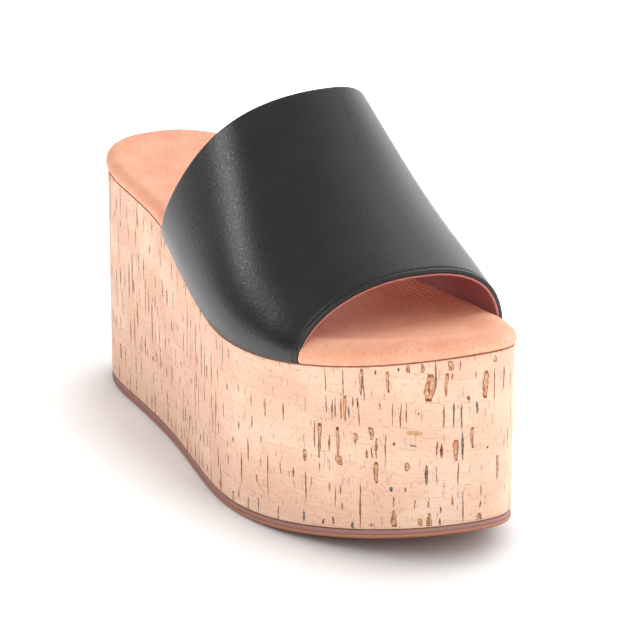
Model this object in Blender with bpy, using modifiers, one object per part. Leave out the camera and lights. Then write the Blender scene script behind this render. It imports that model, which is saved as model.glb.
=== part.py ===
# Platform mule sandal for a right foot: one wide leather band over a padded insole, on a tall
# cork platform with a thin rubber outsole.
# Lengths are metres. The toe points to -Y, the heel to +Y and the outer (lateral) side to -X.
# The floor is Z = 0.

import math
from collections import namedtuple

import bmesh
import bpy
import numpy as np

# Sole sizes
SHOE_LENGTH = 0.2500  # platform, from the heel to the toe
BALL_WIDTH = 0.0890  # platform, across the ball of the foot
HEEL_HEIGHT = 0.0872  # floor to the cork's top edge at the heel
FORE_HEIGHT = 0.0657  # floor to the cork's top edge under the ball
TOE_SPRING = 0.0128  # lift of the sole at the tip of the toe
OUTSOLE_THICKNESS = 0.0033
OUTSOLE_EDGE = 0.0006  # rounding of the outsole's lower edge
OUTSOLE_STEP = 0.0003  # the outsole's upper layer stands back by this much
PLATFORM_TAPER = 0.0008  # the platform stands back by this much at the floor
CORK_ROLL = 0.0012  # radius where the cork turns in over the outsole
PIECE_GAP = 0.0003  # clearance between neighbouring pieces

# Insole sizes
INSOLE_THICKNESS = 0.0080  # at the toe
INSOLE_SIDE = 0.0014  # height of the insole's side, up to where its padding rounds over
INSOLE_FLARE = 0.0004  # the insole's side swells out past the cork by this much
INSOLE_DISH = 0.0010  # hollow of the seat below its rim
INSOLE_RIM = 0.0090  # width over which the rim falls into the hollow

# Band sizes
INSTEP_HEIGHT = 0.0815  # top of the band above the cork's edge, half way along the shoe
BAND_WALL = 0.0020  # leather and lining together
BAND_SWELL = 0.0050  # how far the band's side swells out over the cork
SWELL_HEIGHT = 0.17  # the swell is widest at this share of the band's height
BAND_TUCK = 0.0040  # depth of the band's hem before it is trimmed to the platform

# The sole's outline, as shares of the length
HEEL_ROUND = 0.161  # length of the rounded heel
TOE_ROUND = 0.263  # length of the rounded toe
HEEL_SQUARENESS = 2.4
TOE_SQUARENESS = 1.96
TOE_SWING = 0.108  # the toe's tip lies this share of the ball width to the medial side
SPRING_START = 0.62  # the sole is flat from the heel to here

# Sections of the sole, heel to toe. at is the share of the length. lateral and medial are the
# half widths each side of the long axis, in shares of the ball width. rise is the share of the
# heel's extra height over the forefoot. thick and edge are the insole's thickness and the width
# over which its padding rounds down to its side, in shares of its thickness at the toe.
SoleRow = namedtuple("SoleRow", "at lateral medial rise thick edge")
SOLE_ROWS = [
    SoleRow(at=0.00, lateral=0.301, medial=0.348, rise=1.00, thick=0.62, edge=0.50),
    SoleRow(at=0.20, lateral=0.345, medial=0.348, rise=0.90, thick=0.64, edge=0.52),
    SoleRow(at=0.38, lateral=0.416, medial=0.309, rise=0.68, thick=0.70, edge=0.60),
    SoleRow(at=0.52, lateral=0.501, medial=0.373, rise=0.17, thick=0.80, edge=0.78),
    SoleRow(at=0.66, lateral=0.547, medial=0.454, rise=0.00, thick=0.92, edge=0.98),
    SoleRow(at=0.82, lateral=0.463, medial=0.463, rise=-0.01, thick=1.00, edge=1.10),
    SoleRow(at=1.00, lateral=0.364, medial=0.466, rise=0.07, thick=1.00, edge=1.10),
]

# Sections of the band over the foot, heel side to toe side. top is its height in shares of the
# instep height and ridge the place of its crest to the medial side, in shares of the ball width.
# lateral and medial say how square each shoulder is, where 2 is an ellipse. out_lateral and
# out_medial are the swell of each side, in shares of the band's swell.
BandRow = namedtuple("BandRow", "at top ridge lateral medial out_lateral out_medial")
BAND_ROWS = [
    BandRow(at=0.36, top=1.06, ridge=0.113, lateral=2.43, medial=2.64, out_lateral=1.55, out_medial=0.75),
    BandRow(at=0.50, top=1.00, ridge=0.122, lateral=2.16, medial=2.67, out_lateral=1.05, out_medial=0.66),
    BandRow(at=0.66, top=0.67, ridge=0.080, lateral=2.02, medial=2.55, out_lateral=0.40, out_medial=0.55),
    BandRow(at=0.82, top=0.33, ridge=0.082, lateral=1.86, medial=2.85, out_lateral=0.09, out_medial=0.18),
]

# The band's two open edges, as shares of the length: where each meets the sole on the lateral
# and the medial side, how far it runs on towards the toe at its crest, how it leans there, and
# the power that shapes that run.
BandEdge = namedtuple("BandEdge", "lateral medial crest lean power")
FRONT_EDGE = BandEdge(lateral=0.800, medial=0.833, crest=0.003, lean=0.000, power=1.5)
REAR_EDGE = BandEdge(lateral=0.400, medial=0.466, crest=0.101, lean=0.010, power=1.39)

# Counts of facets
SOLE_STATIONS = 48  # along each side of the sole
BAND_AROUND = 46  # from the lateral foot of the band to the medial one
BAND_ALONG = 15  # from the front edge of the band to the rear one
ROUND_STEPS = 3  # across a small rounded edge
PADDING_STEPS = 5  # across the insole's rounded edge


def read(rows, column, at):
    """One column of a table as a natural cubic spline, read at shares of the length."""
    knots = np.array([row.at for row in rows])
    values = np.array([getattr(row, column) for row in rows])
    gap = np.diff(knots)
    slope = np.diff(values) / gap
    last = len(knots) - 1
    system = np.eye(last + 1)
    bend = np.zeros(last + 1)
    for i in range(1, last):
        system[i, i - 1 : i + 2] = gap[i - 1], 2 * (gap[i - 1] + gap[i]), gap[i]
        bend[i] = 6 * (slope[i] - slope[i - 1])
    bend = np.linalg.solve(system, bend)
    i = np.clip(np.searchsorted(knots, at) - 1, 0, last - 1)
    after = (at - knots[i]) / gap[i]
    before = 1 - after
    curve = (before**3 - before) * bend[i] + (after**3 - after) * bend[i + 1]
    return before * values[i] + after * values[i + 1] + curve * gap[i] ** 2 / 6


def floor_z(at):
    """Height of the sole's underside: flat, then rising to the toe."""
    return TOE_SPRING * np.clip((at - SPRING_START) / (1 - SPRING_START), 0, 1) ** 2


def seam_z(at):
    """Height of the cork's top, where the insole and the band sit."""
    rise = (HEEL_HEIGHT - FORE_HEIGHT) * read(SOLE_ROWS, "rise", at)
    return FORE_HEIGHT + rise + floor_z(at)


def share_at(y):
    """The share of the length, from heel to toe, at a place along Y."""
    return np.clip(0.5 - y / SHOE_LENGTH, 0, 1)


def round_end(share, squareness):
    """Falls from 1 to 0 along a rounded end of the outline."""
    return (1 - np.clip(share, 0, 1) ** squareness) ** (1 / squareness)


def side_x(at):
    """X of the platform's lateral and medial edges."""
    heel = round_end(1 - at / HEEL_ROUND, HEEL_SQUARENESS)
    toe = round_end(1 - (1 - at) / TOE_ROUND, TOE_SQUARENESS)
    swing = TOE_SWING * np.clip(2 * at - 1, 0, 1) ** 2
    lateral = swing - (read(SOLE_ROWS, "lateral", at) + swing) * heel * toe
    medial = swing + (read(SOLE_ROWS, "medial", at) - swing) * heel * toe
    return BALL_WIDTH * lateral, BALL_WIDTH * medial


def outline():
    """The platform's outline from above, and the way out of it at each point.

    It runs from the heel along the lateral side to the toe and back along the medial side.
    """
    at = 0.5 - 0.5 * np.cos(np.linspace(0, math.pi, SOLE_STATIONS + 1))
    y = SHOE_LENGTH * (0.5 - at)
    lateral, medial = side_x(at)
    lateral_side = np.stack([lateral, y], axis=1)
    medial_side = np.stack([medial, y], axis=1)[-2:0:-1]
    loop = np.concatenate([lateral_side, medial_side])
    ahead = np.roll(loop, -1, axis=0) - np.roll(loop, 1, axis=0)
    away = np.stack([ahead[:, 1], -ahead[:, 0]], axis=1)
    return loop, away / np.linalg.norm(away, axis=1, keepdims=True)


def ring(outset, height):
    """The outline moved out by outset, with height giving Z at each share of the length."""
    loop, away = outline()
    loop = loop + away * np.reshape(outset, (-1, 1))
    return np.column_stack([loop, height(share_at(loop[:, 1]))])


def quarter(radius, steps=ROUND_STEPS):
    """Steps of a rounded edge: how far in from the side, and how far short of the face."""
    turns = np.linspace(0, math.pi / 2, steps + 1)
    return [(radius * (1 - math.cos(turn)), radius * (1 - math.sin(turn))) for turn in turns]


def material(name, colour, roughness):
    shade = bpy.data.materials.new(name)
    shade.use_nodes = True
    surface = shade.node_tree.nodes["Principled BSDF"]
    surface.inputs["Base Color"].default_value = (*colour, 1)
    surface.inputs["Roughness"].default_value = roughness
    surface.inputs["Metallic"].default_value = 0
    return shade


def new_object(name, points, faces, group, root):
    mesh = bpy.data.meshes.new(name)
    mesh.from_pydata([tuple(point) for point in points], [], faces)
    work = bmesh.new()
    work.from_mesh(mesh)
    bmesh.ops.recalc_face_normals(work, faces=work.faces)
    work.to_mesh(mesh)
    work.free()
    mesh.shade_smooth()
    mesh.set_sharp_from_angle(angle=math.radians(35))
    item = bpy.data.objects.new(name, mesh)
    item.parent = root
    group.objects.link(item)
    return item


def loft(name, rings, group, root):
    """A solid through rings of the outline, closed across its first and its last ring."""
    count = len(rings[0])
    faces = []
    for level in range(len(rings) - 1):
        low = level * count
        for i in range(count):
            j = (i + 1) % count
            faces.append((low + i, low + j, low + count + j, low + count + i))
    for start in (0, (len(rings) - 1) * count):
        for i in range(count // 2):
            across = [i, i + 1, count - i - 1, (count - i) % count]
            faces.append([start + k for k in dict.fromkeys(across)])
    return new_object(name, np.concatenate(rings), faces, group, root)


def make_outsole(group, root):
    """A thin rubber sheet in two layers, the upper one standing back a little."""
    side = -PLATFORM_TAPER
    layer = OUTSOLE_THICKNESS / 2
    rings = [
        ring(side - inset, lambda at, lift=lift: floor_z(at) + lift)
        for lift, inset in quarter(OUTSOLE_EDGE)
    ]
    levels = [(side, layer), (side - OUTSOLE_STEP, layer), (side - OUTSOLE_STEP, 2 * layer)]
    rings += [ring(out, lambda at, lift=lift: floor_z(at) + lift) for out, lift in levels]
    item = loft("outsole", rings, group, root)
    item.data.materials.append(material("brown rubber", (0.30, 0.14, 0.09), 0.6))
    return item


def make_platform(group, root):
    """The cork wedge: its wall leans in towards the floor and rolls in over the outsole."""

    def base(at):
        return floor_z(at) + OUTSOLE_THICKNESS + PIECE_GAP

    rings = [
        ring(-PLATFORM_TAPER - inset, lambda at, lift=lift: base(at) + lift)
        for lift, inset in quarter(CORK_ROLL)
    ]
    rings.append(ring(-PLATFORM_TAPER / 2, lambda at: (base(at) + seam_z(at)) / 2))
    rings.append(ring(0, seam_z))
    item = loft("platform", rings, group, root)
    item.data.materials.append(material("natural cork", (0.78, 0.55, 0.38), 0.8))
    return item


def make_insole(group, root, cutter):
    """The padded insole: a short side, a soft rounded edge and a shallow seat."""
    loop, _ = outline()
    at_loop = share_at(loop[:, 1])
    thick = INSOLE_THICKNESS * read(SOLE_ROWS, "thick", at_loop)
    edge = INSOLE_THICKNESS * read(SOLE_ROWS, "edge", at_loop)

    def level(outset, lift):
        return ring(outset, lambda at: seam_z(at) + PIECE_GAP + lift)

    rings = [level(0, 0)]
    for inset, short in quarter(1, PADDING_STEPS):
        rings.append(level(INSOLE_FLARE - inset * edge, thick - short * (thick - INSOLE_SIDE)))
    for share in (0.5, 1):
        hollow = INSOLE_DISH * (0.5 - 0.5 * math.cos(math.pi * share))
        rings.append(level(INSOLE_FLARE - edge - share * INSOLE_RIM, thick - hollow))
    item = loft("insole", rings, group, root)
    cut_away(item, cutter)
    item.data.materials.append(material("coral leather", (0.78, 0.38, 0.26), 0.6))
    return item


def edge_at(edge, turn):
    """Share of the length along one open edge of the band, from its lateral foot over."""
    across = (1 - np.cos(turn)) / 2
    foot = edge.lateral + (edge.medial - edge.lateral) * across
    return foot + edge.crest * np.sin(turn) ** edge.power + edge.lean * np.sin(2 * turn)


def band_points(at, turn):
    """The band's outer surface. turn runs from 0 at its lateral foot to pi at its medial foot."""
    lateral_x, medial_x = side_x(at)
    top = INSTEP_HEIGHT * read(BAND_ROWS, "top", at)
    ridge = BALL_WIDTH * read(BAND_ROWS, "ridge", at)
    on_lateral = np.cos(turn) > 0
    square = np.where(on_lateral, read(BAND_ROWS, "lateral", at), read(BAND_ROWS, "medial", at))
    out = np.where(on_lateral, read(BAND_ROWS, "out_lateral", at), read(BAND_ROWS, "out_medial", at))
    foot_x = np.where(on_lateral, lateral_x, medial_x)
    outward = np.where(on_lateral, -1.0, 1.0)
    across = np.abs(np.cos(turn)) ** (2 / square)
    up = np.sin(turn) ** (2 / square)
    swell = BAND_SWELL * out * (up / SWELL_HEIGHT) * np.exp(1 - up / SWELL_HEIGHT)
    x = ridge + (foot_x - ridge) * across + outward * swell * np.minimum(1, 1.5 * across)
    z = seam_z(at) + PIECE_GAP + top * up
    return np.stack([x, SHOE_LENGTH * (0.5 - at), z], axis=-1)


def band_surface(name, group, root, margin):
    """The band as an open surface, with a hem tucked in under each foot.

    margin carries its two open edges on, along the shoe.
    """
    steps = np.linspace(0, 1, BAND_AROUND + 1)
    turns = math.pi * (steps - 0.35 * np.sin(2 * math.pi * steps) / (2 * math.pi))
    turns[-1] = math.pi
    reach = margin / SHOE_LENGTH
    front = edge_at(FRONT_EDGE, turns) + reach
    rear = edge_at(REAR_EDGE, turns) - reach
    rows = []
    for step in np.linspace(0, 1, BAND_ALONG + 1):
        at = front + (rear - front) * step
        row = band_points(at, np.clip(turns, 0, math.pi))
        lean = BAND_SWELL * math.e / (SWELL_HEIGHT * INSTEP_HEIGHT * read(BAND_ROWS, "top", at))
        lateral_lean = lean[0] * read(BAND_ROWS, "out_lateral", at[:1])[0]
        medial_lean = lean[-1] * read(BAND_ROWS, "out_medial", at[-1:])[0]
        lateral_hem = row[0] + np.array([lateral_lean, 0, -1]) * BAND_TUCK
        medial_hem = row[-1] + np.array([-medial_lean, 0, -1]) * BAND_TUCK
        rows.append(np.vstack([lateral_hem, row, medial_hem]))
    count = len(rows[0])
    faces = []
    for level in range(BAND_ALONG):
        for i in range(count - 1):
            low = level * count + i
            faces.append((low, low + count, low + count + 1, low + 1))
    return new_object(name, np.concatenate(rows), faces, group, root)


def thicken(item, inward, outward):
    """Gives a surface its wall, inward and outward of itself."""
    wall = item.modifiers.new("wall", "SOLIDIFY")
    wall.thickness = inward + outward
    wall.offset = (outward - inward) / (outward + inward)
    wall.use_even_offset = True


def cut_away(item, cutter):
    cut = item.modifiers.new("cut", "BOOLEAN")
    cut.operation = "DIFFERENCE"
    cut.solver = "EXACT"
    cut.object = cutter


def make_seat_cutter(group, root):
    """All that lies under the platform's top, to trim the band's hem to it."""
    at = np.linspace(0, 1, SOLE_STATIONS + 1)
    y = SHOE_LENGTH * (0.5 - at)
    top = seam_z(at) + PIECE_GAP
    low = top - 4 * BAND_TUCK
    half = BALL_WIDTH
    count = len(at)
    points = []
    for x in (-half, half):
        points += [(x, y[i], top[i]) for i in range(count)]
        points += [(x, y[i], low[i]) for i in range(count)]
    faces = []
    for i in range(count - 1):
        faces.append((i, i + 1, 2 * count + i + 1, 2 * count + i))
        faces.append((count + i, 3 * count + i, 3 * count + i + 1, count + i + 1))
        faces.append((i, count + i, count + i + 1, i + 1))
        faces.append((2 * count + i, 2 * count + i + 1, 3 * count + i + 1, 3 * count + i))
    for i in (0, count - 1):
        faces.append((i, count + i, 3 * count + i, 2 * count + i))
    return hide(new_object("seat_cutter", points, faces, group, root))


def make_band_space(group, root):
    """The room that the band takes beside the insole, and all that lies outside it."""
    item = band_surface("band_space", group, root, PIECE_GAP)
    thicken(item, BAND_WALL + PIECE_GAP, 2 * BAND_WALL + INSOLE_FLARE)
    return hide(item)


def make_upper(group, root, cutter):
    """The band itself: one wall of leather over the instep, open to the toe and to the heel."""
    item = band_surface("upper", group, root, 0)
    thicken(item, BAND_WALL, 0)
    cut_away(item, cutter)
    item.data.materials.append(material("black leather", (0.02, 0.02, 0.02), 0.4))
    return item


def hide(item):
    item.hide_render = True
    item.display_type = "WIRE"
    return item


def centre(root, items):
    """Moves the shoe so that the origin is the middle of its box, on the floor."""
    bpy.context.view_layer.update()
    graph = bpy.context.evaluated_depsgraph_get()
    corners = [corner for item in items for corner in item.evaluated_get(graph).bound_box]
    low = np.min(corners, axis=0)
    high = np.max(corners, axis=0)
    root.location = (-(low[0] + high[0]) / 2, -(low[1] + high[1]) / 2, 0)


def main():
    for item in list(bpy.data.objects):
        bpy.data.objects.remove(item, do_unlink=True)
    shoe = bpy.data.collections.new("platform_mule")
    cutters = bpy.data.collections.new("cutters")
    for group in (shoe, cutters):
        bpy.context.scene.collection.children.link(group)
    root = bpy.data.objects.new("shoe_origin", None)
    shoe.objects.link(root)

    seat_cutter = make_seat_cutter(cutters, root)
    band_space = make_band_space(cutters, root)
    pieces = [
        make_outsole(shoe, root),
        make_platform(shoe, root),
        make_insole(shoe, root, band_space),
        make_upper(shoe, root, seat_cutter),
    ]
    centre(root, pieces)


main()
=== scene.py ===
# Black leather mule on a cork platform: the looks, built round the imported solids.
# Lengths are metres. The toe points to -Y, the heel to +Y and the outer side of the foot to -X.

import math

import bmesh
import bpy
import numpy as np
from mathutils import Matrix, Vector


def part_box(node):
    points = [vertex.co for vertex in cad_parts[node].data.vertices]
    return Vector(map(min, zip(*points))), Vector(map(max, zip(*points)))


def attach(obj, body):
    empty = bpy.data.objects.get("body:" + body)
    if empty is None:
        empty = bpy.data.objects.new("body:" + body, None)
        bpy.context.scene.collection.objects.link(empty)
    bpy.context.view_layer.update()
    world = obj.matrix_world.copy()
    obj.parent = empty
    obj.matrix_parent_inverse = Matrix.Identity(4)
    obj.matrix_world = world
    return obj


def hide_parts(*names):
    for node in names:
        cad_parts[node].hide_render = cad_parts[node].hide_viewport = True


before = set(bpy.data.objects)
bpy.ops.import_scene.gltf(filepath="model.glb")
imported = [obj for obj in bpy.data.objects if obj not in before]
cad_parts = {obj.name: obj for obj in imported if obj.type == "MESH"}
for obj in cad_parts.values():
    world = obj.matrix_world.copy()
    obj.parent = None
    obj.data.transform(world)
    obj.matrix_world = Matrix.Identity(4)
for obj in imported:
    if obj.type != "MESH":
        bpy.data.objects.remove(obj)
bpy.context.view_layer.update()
print("packed shoe loaded")

mm = 0.001

# The sole's own sizes, as the solids have them
soleSizes = {
    "length": 250.0 * mm,
    "ballWidth": 89.0 * mm,
    "heelHeight": 87.2 * mm,  # floor to the cork's top edge at the heel
    "foreHeight": 65.7 * mm,  # the same under the ball of the foot
    "toeSpring": 12.8 * mm,
    "springStart": 0.62,  # share of the length, from the heel
    "outsole": 3.3 * mm,
    "taper": 0.8 * mm,  # the cork stands back by this much at the floor
    "gap": 0.3 * mm,
    "heelRound": 0.161,  # shares of the length
    "toeRound": 0.263,
    "heelSquare": 2.4,
    "toeSquare": 1.96,
    "toeSwing": 0.108,  # the toe's tip leans this share of the ball width to the inner side
    "stations": 150,  # along each side
}

# Sections of the sole from heel to toe. lateral and medial are half widths in shares of the ball
# width, rise is the share of the heel's extra height, thick and edge are the insole's padding.
# The half widths, the rise and the shares above were fitted to the photo by a scratch script.
soleColumns = ("at", "lateral", "medial", "rise", "thick", "edge")
soleSections = [
    (0.00, 0.301, 0.348, 1.00, 0.62, 0.50),
    (0.20, 0.345, 0.348, 0.90, 0.64, 0.52),
    (0.38, 0.416, 0.309, 0.68, 0.70, 0.60),
    (0.52, 0.501, 0.373, 0.17, 0.80, 0.78),
    (0.66, 0.547, 0.454, 0.00, 0.92, 0.98),
    (0.82, 0.463, 0.463, -0.01, 1.00, 1.10),
    (1.00, 0.364, 0.466, 0.07, 1.00, 1.10),
]


def naturalCurve(knots, values):
    # a natural cubic spline through the knots
    knots = np.array(knots)
    values = np.array(values)
    gap = np.diff(knots)
    slope = np.diff(values) / gap
    last = len(knots) - 1
    system = np.eye(last + 1)
    bend = np.zeros(last + 1)
    for i in range(1, last):
        system[i, i - 1 : i + 2] = gap[i - 1], 2 * (gap[i - 1] + gap[i]), gap[i]
        bend[i] = 6 * (slope[i] - slope[i - 1])
    bend = np.linalg.solve(system, bend)

    def read(at):
        i = np.clip(np.searchsorted(knots, at) - 1, 0, last - 1)
        after = (at - knots[i]) / gap[i]
        before = 1 - after
        curve = (before**3 - before) * bend[i] + (after**3 - after) * bend[i + 1]
        return before * values[i] + after * values[i + 1] + curve * gap[i] ** 2 / 6

    return read


def curvesOf(columns, sections):
    table = list(zip(*sections))
    return {name: naturalCurve(table[0], table[i]) for i, name in enumerate(columns) if i}


soleCurve = curvesOf(soleColumns, soleSections)


def floorZ(at):
    lift = np.clip((at - soleSizes["springStart"]) / (1 - soleSizes["springStart"]), 0, 1)
    return soleSizes["toeSpring"] * lift**2


def seamZ(at):
    # height of the cork's top edge
    extra = soleSizes["heelHeight"] - soleSizes["foreHeight"]
    return soleSizes["foreHeight"] + extra * soleCurve["rise"](at) + floorZ(at)


def shareAt(y):
    return np.clip(0.5 - y / soleSizes["length"], 0, 1)


def roundEnd(share, square):
    return (1 - np.clip(share, 0, 1) ** square) ** (1 / square)


def sideX(at, shift=0.0):
    # X of the outer and inner edges of the platform
    heel = roundEnd(1 - at / soleSizes["heelRound"], soleSizes["heelSquare"])
    toe = roundEnd(1 - (1 - at) / soleSizes["toeRound"], soleSizes["toeSquare"])
    swing = soleSizes["toeSwing"] * np.clip(2 * at - 1, 0, 1) ** 2
    lateral = swing - (soleCurve["lateral"](at) + swing) * heel * toe
    medial = swing + (soleCurve["medial"](at) - swing) * heel * toe
    return soleSizes["ballWidth"] * lateral + shift, soleSizes["ballWidth"] * medial + shift


# The solids are centred on their box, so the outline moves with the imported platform
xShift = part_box("platform")[0].x - sideX(np.linspace(0, 1, 2001))[0].min()


def makeOutline(stations):
    # heel, outer side, toe, inner side: points, the way out of them, and the way round so far
    at = 0.5 - 0.5 * np.cos(np.linspace(0, math.pi, stations + 1))
    y = soleSizes["length"] * (0.5 - at)
    lateral, medial = sideX(at, xShift)
    loop = np.concatenate([np.stack([lateral, y], 1), np.stack([medial, y], 1)[-2:0:-1]])
    ahead = np.roll(loop, -1, axis=0) - np.roll(loop, 1, axis=0)
    away = np.stack([ahead[:, 1], -ahead[:, 0]], 1)
    away /= np.linalg.norm(away, axis=1, keepdims=True)
    steps = np.linalg.norm(np.roll(loop, -1, axis=0) - loop, axis=1)
    return loop, away, np.concatenate([[0], np.cumsum(steps)])


outline, outlineAway, outlineArc = makeOutline(soleSizes["stations"])
perimeter = outlineArc[-1]
toeArc = outlineArc[soleSizes["stations"]]


def ring(outset, height):
    flat = outline + outlineAway * np.reshape(outset, (-1, 1))
    return np.column_stack([flat, height(shareAt(flat[:, 1]))])


def quarter(steps):
    # a quarter round: how far in from the side, and how far short of the face
    turns = np.linspace(0, math.pi / 2, steps + 1)
    return [(1 - math.cos(turn), 1 - math.sin(turn)) for turn in turns]


def smooth(value, low, high):
    share = np.clip((value - low) / (high - low), 0, 1)
    return share * share * (3 - 2 * share)


# Materials


def linear(hexColour):
    # an sRGB hex colour as linear red, green, blue and alpha
    channels = [int(hexColour[i : i + 2], 16) / 255 for i in (1, 3, 5)]
    return [c / 12.92 if c <= 0.04045 else ((c + 0.055) / 1.055) ** 2.4 for c in channels] + [1]


def feed(tree, node, inputs):
    # an input takes a value, a socket, or a node that is read at its first output
    for place, value in inputs.items():
        if isinstance(value, bpy.types.Node):
            value = next(output for output in value.outputs if output.enabled)
        if isinstance(value, bpy.types.NodeSocket):
            tree.links.new(value, node.inputs[place])
        else:
            node.inputs[place].default_value = value


def addNode(tree, kind, inputs=None, stops=(), **settings):
    # stops are a ramp's places with a hex colour or a grey value
    node = tree.nodes.new(kind)
    for name, value in settings.items():
        setattr(node, name, value)
    feed(tree, node, inputs or {})
    if stops:
        node.color_ramp.elements.remove(node.color_ramp.elements[1])
    for count, (place, tone) in enumerate(stops):
        element = node.color_ramp.elements.new(place) if count else node.color_ramp.elements[0]
        element.position = place
        element.color = linear(tone) if isinstance(tone, str) else [tone, tone, tone, 1]
    return node


def newMaterial(name, inputs):
    made = bpy.data.materials.new(name)
    made.use_nodes = True
    shader = made.node_tree.nodes["Principled BSDF"]
    feed(made.node_tree, shader, inputs)
    return made, made.node_tree, shader


corkLooks = {
    "pale": "#f3d0b6",
    "warm": "#eec5ab",
    "rose": "#eabca4",
    "pore": "#b07c63",
    "greyPore": "#9c8c82",
    "joint": "#cf9c7c",
    "rowHeight": 9.0 * mm,
    "sliceWidth": 31.0 * mm,
    # width and length of a pore's cell, how far the pore reaches in it, and the share left bare
    "pores": [
        (1.5 * mm, 11.0 * mm, 0.15, 0.80),
        (2.6 * mm, 17.0 * mm, 0.13, 0.75),
        (0.8 * mm, 4.0 * mm, 0.17, 0.80),
    ],
}


def makeCork():
    # Natural cork sliced thin and wrapped: matt, dry, pale peach, each slice a little different,
    # with upright pores, a faint level grain and joints. Its low gloss keeps it even in soft light.
    made, tree, shader = newMaterial("cork sliced and wrapped", {
        "Roughness": 0.82, "IOR": 1.45, "Specular IOR Level": 0.3,
    })
    wrap = addNode(tree, "ShaderNodeUVMap", uv_map="wrap")
    place = addNode(tree, "ShaderNodeSeparateXYZ", {0: wrap})
    wander = addNode(tree, "ShaderNodeTexNoise", {"Vector": wrap, "Scale": 1 / (14 * mm), "Detail": 3.0})
    height = addNode(tree, "ShaderNodeMath", {
        0: wander, 1: 2.4 * mm, 2: place.outputs[1],
    }, operation="MULTIPLY_ADD")
    row = addNode(tree, "ShaderNodeMath", {0: height, 1: corkLooks["rowHeight"]}, operation="DIVIDE")
    rowNumber = addNode(tree, "ShaderNodeMath", {0: row}, operation="FLOOR")
    shift = addNode(tree, "ShaderNodeTexWhiteNoise", {"W": rowNumber}, noise_dimensions="1D")
    along = addNode(tree, "ShaderNodeMath", {0: place.outputs[0], 1: shift}, operation="ADD")
    column = addNode(tree, "ShaderNodeMath", {0: along, 1: corkLooks["sliceWidth"]}, operation="DIVIDE")
    columnNumber = addNode(tree, "ShaderNodeMath", {0: column}, operation="FLOOR")
    slicePlace = addNode(tree, "ShaderNodeCombineXYZ", {0: columnNumber, 1: rowNumber})
    sliceTone = addNode(tree, "ShaderNodeTexWhiteNoise", {"Vector": slicePlace}, noise_dimensions="2D")

    # ground: tone of the slice with broad patches, fine crumb and level grain over it
    patches = addNode(tree, "ShaderNodeTexNoise", {"Vector": wrap, "Scale": 1 / (22 * mm), "Detail": 3.0})
    tone = addNode(tree, "ShaderNodeMath", {0: sliceTone, 1: 0.2, 2: patches}, operation="MULTIPLY_ADD")
    ground = addNode(tree, "ShaderNodeValToRGB", {0: tone}, stops=[
        (0.40, corkLooks["rose"]), (0.60, corkLooks["warm"]), (0.80, corkLooks["pale"]),
    ])
    crumb = addNode(tree, "ShaderNodeTexNoise", {
        "Vector": wrap, "Scale": 1 / (0.9 * mm), "Detail": 3.0, "Roughness": 0.7,
    })
    crumbShade = addNode(tree, "ShaderNodeValToRGB", {0: crumb}, stops=[(0.3, 0.66), (0.62, 1.0)])
    ground = addNode(tree, "ShaderNodeMix", {
        0: 0.45, 6: ground, 7: crumbShade,
    }, data_type="RGBA", blend_type="MULTIPLY")
    levelPlace = addNode(tree, "ShaderNodeVectorMath", {
        0: wrap, 1: (1 / (7 * mm), 1 / (0.8 * mm), 0),
    }, operation="MULTIPLY")
    level = addNode(tree, "ShaderNodeTexNoise", {"Vector": levelPlace, "Scale": 1.0, "Detail": 2.0})
    levelShade = addNode(tree, "ShaderNodeValToRGB", {0: level}, stops=[(0.3, 0.86), (0.6, 1.0)])
    ground = addNode(tree, "ShaderNodeMix", {
        0: 0.6, 6: ground, 7: levelShade,
    }, data_type="RGBA", blend_type="MULTIPLY")

    # thin upright pores: stretched cells, each with its own chance to show
    sway = addNode(tree, "ShaderNodeTexNoise", {"Vector": wrap, "Scale": 1 / (5 * mm)})
    swayed = addNode(tree, "ShaderNodeMath", {0: sway, 1: 1.6 * mm, 2: along}, operation="MULTIPLY_ADD")
    pores = 0.0
    for width, length, reach, bare in corkLooks["pores"]:
        across = addNode(tree, "ShaderNodeMath", {0: swayed, 1: width}, operation="DIVIDE")
        up = addNode(tree, "ShaderNodeMath", {0: height, 1: length}, operation="DIVIDE")
        cell = addNode(tree, "ShaderNodeCombineXYZ", {0: across, 1: up})
        cells = addNode(tree, "ShaderNodeTexVoronoi", {"Vector": cell, "Scale": 1.0}, voronoi_dimensions="2D")
        near = addNode(tree, "ShaderNodeValToRGB", {0: cells}, stops=[(reach * 0.6, 1.0), (reach, 0.0)])
        chance = addNode(tree, "ShaderNodeSeparateColor", {0: cells.outputs["Color"]})
        shown = addNode(tree, "ShaderNodeMath", {0: chance, 1: bare}, operation="GREATER_THAN")
        layer = addNode(tree, "ShaderNodeMath", {0: near, 1: shown}, operation="MULTIPLY")
        pores = addNode(tree, "ShaderNodeMath", {0: layer, 1: pores}, operation="MAXIMUM")
    tear = addNode(tree, "ShaderNodeTexNoise", {
        "Vector": wrap, "Scale": 1 / (1.1 * mm), "Detail": 3.0, "Roughness": 0.7,
    })
    ragged = addNode(tree, "ShaderNodeValToRGB", {0: tear}, stops=[(0.38, 0.15), (0.56, 1.0)])
    pores = addNode(tree, "ShaderNodeMath", {0: pores, 1: ragged}, operation="MULTIPLY")
    poreShow = addNode(tree, "ShaderNodeMath", {0: pores, 1: 0.5}, operation="MULTIPLY")
    poreClouds = addNode(tree, "ShaderNodeTexNoise", {"Vector": wrap, "Scale": 1 / (7 * mm), "Detail": 1.0})
    poreTone = addNode(tree, "ShaderNodeValToRGB", {0: poreClouds}, stops=[
        (0.42, corkLooks["greyPore"]), (0.5, corkLooks["pore"]),
    ])
    colour = addNode(tree, "ShaderNodeMix", {0: poreShow, 6: ground, 7: poreTone}, data_type="RGBA")

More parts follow.
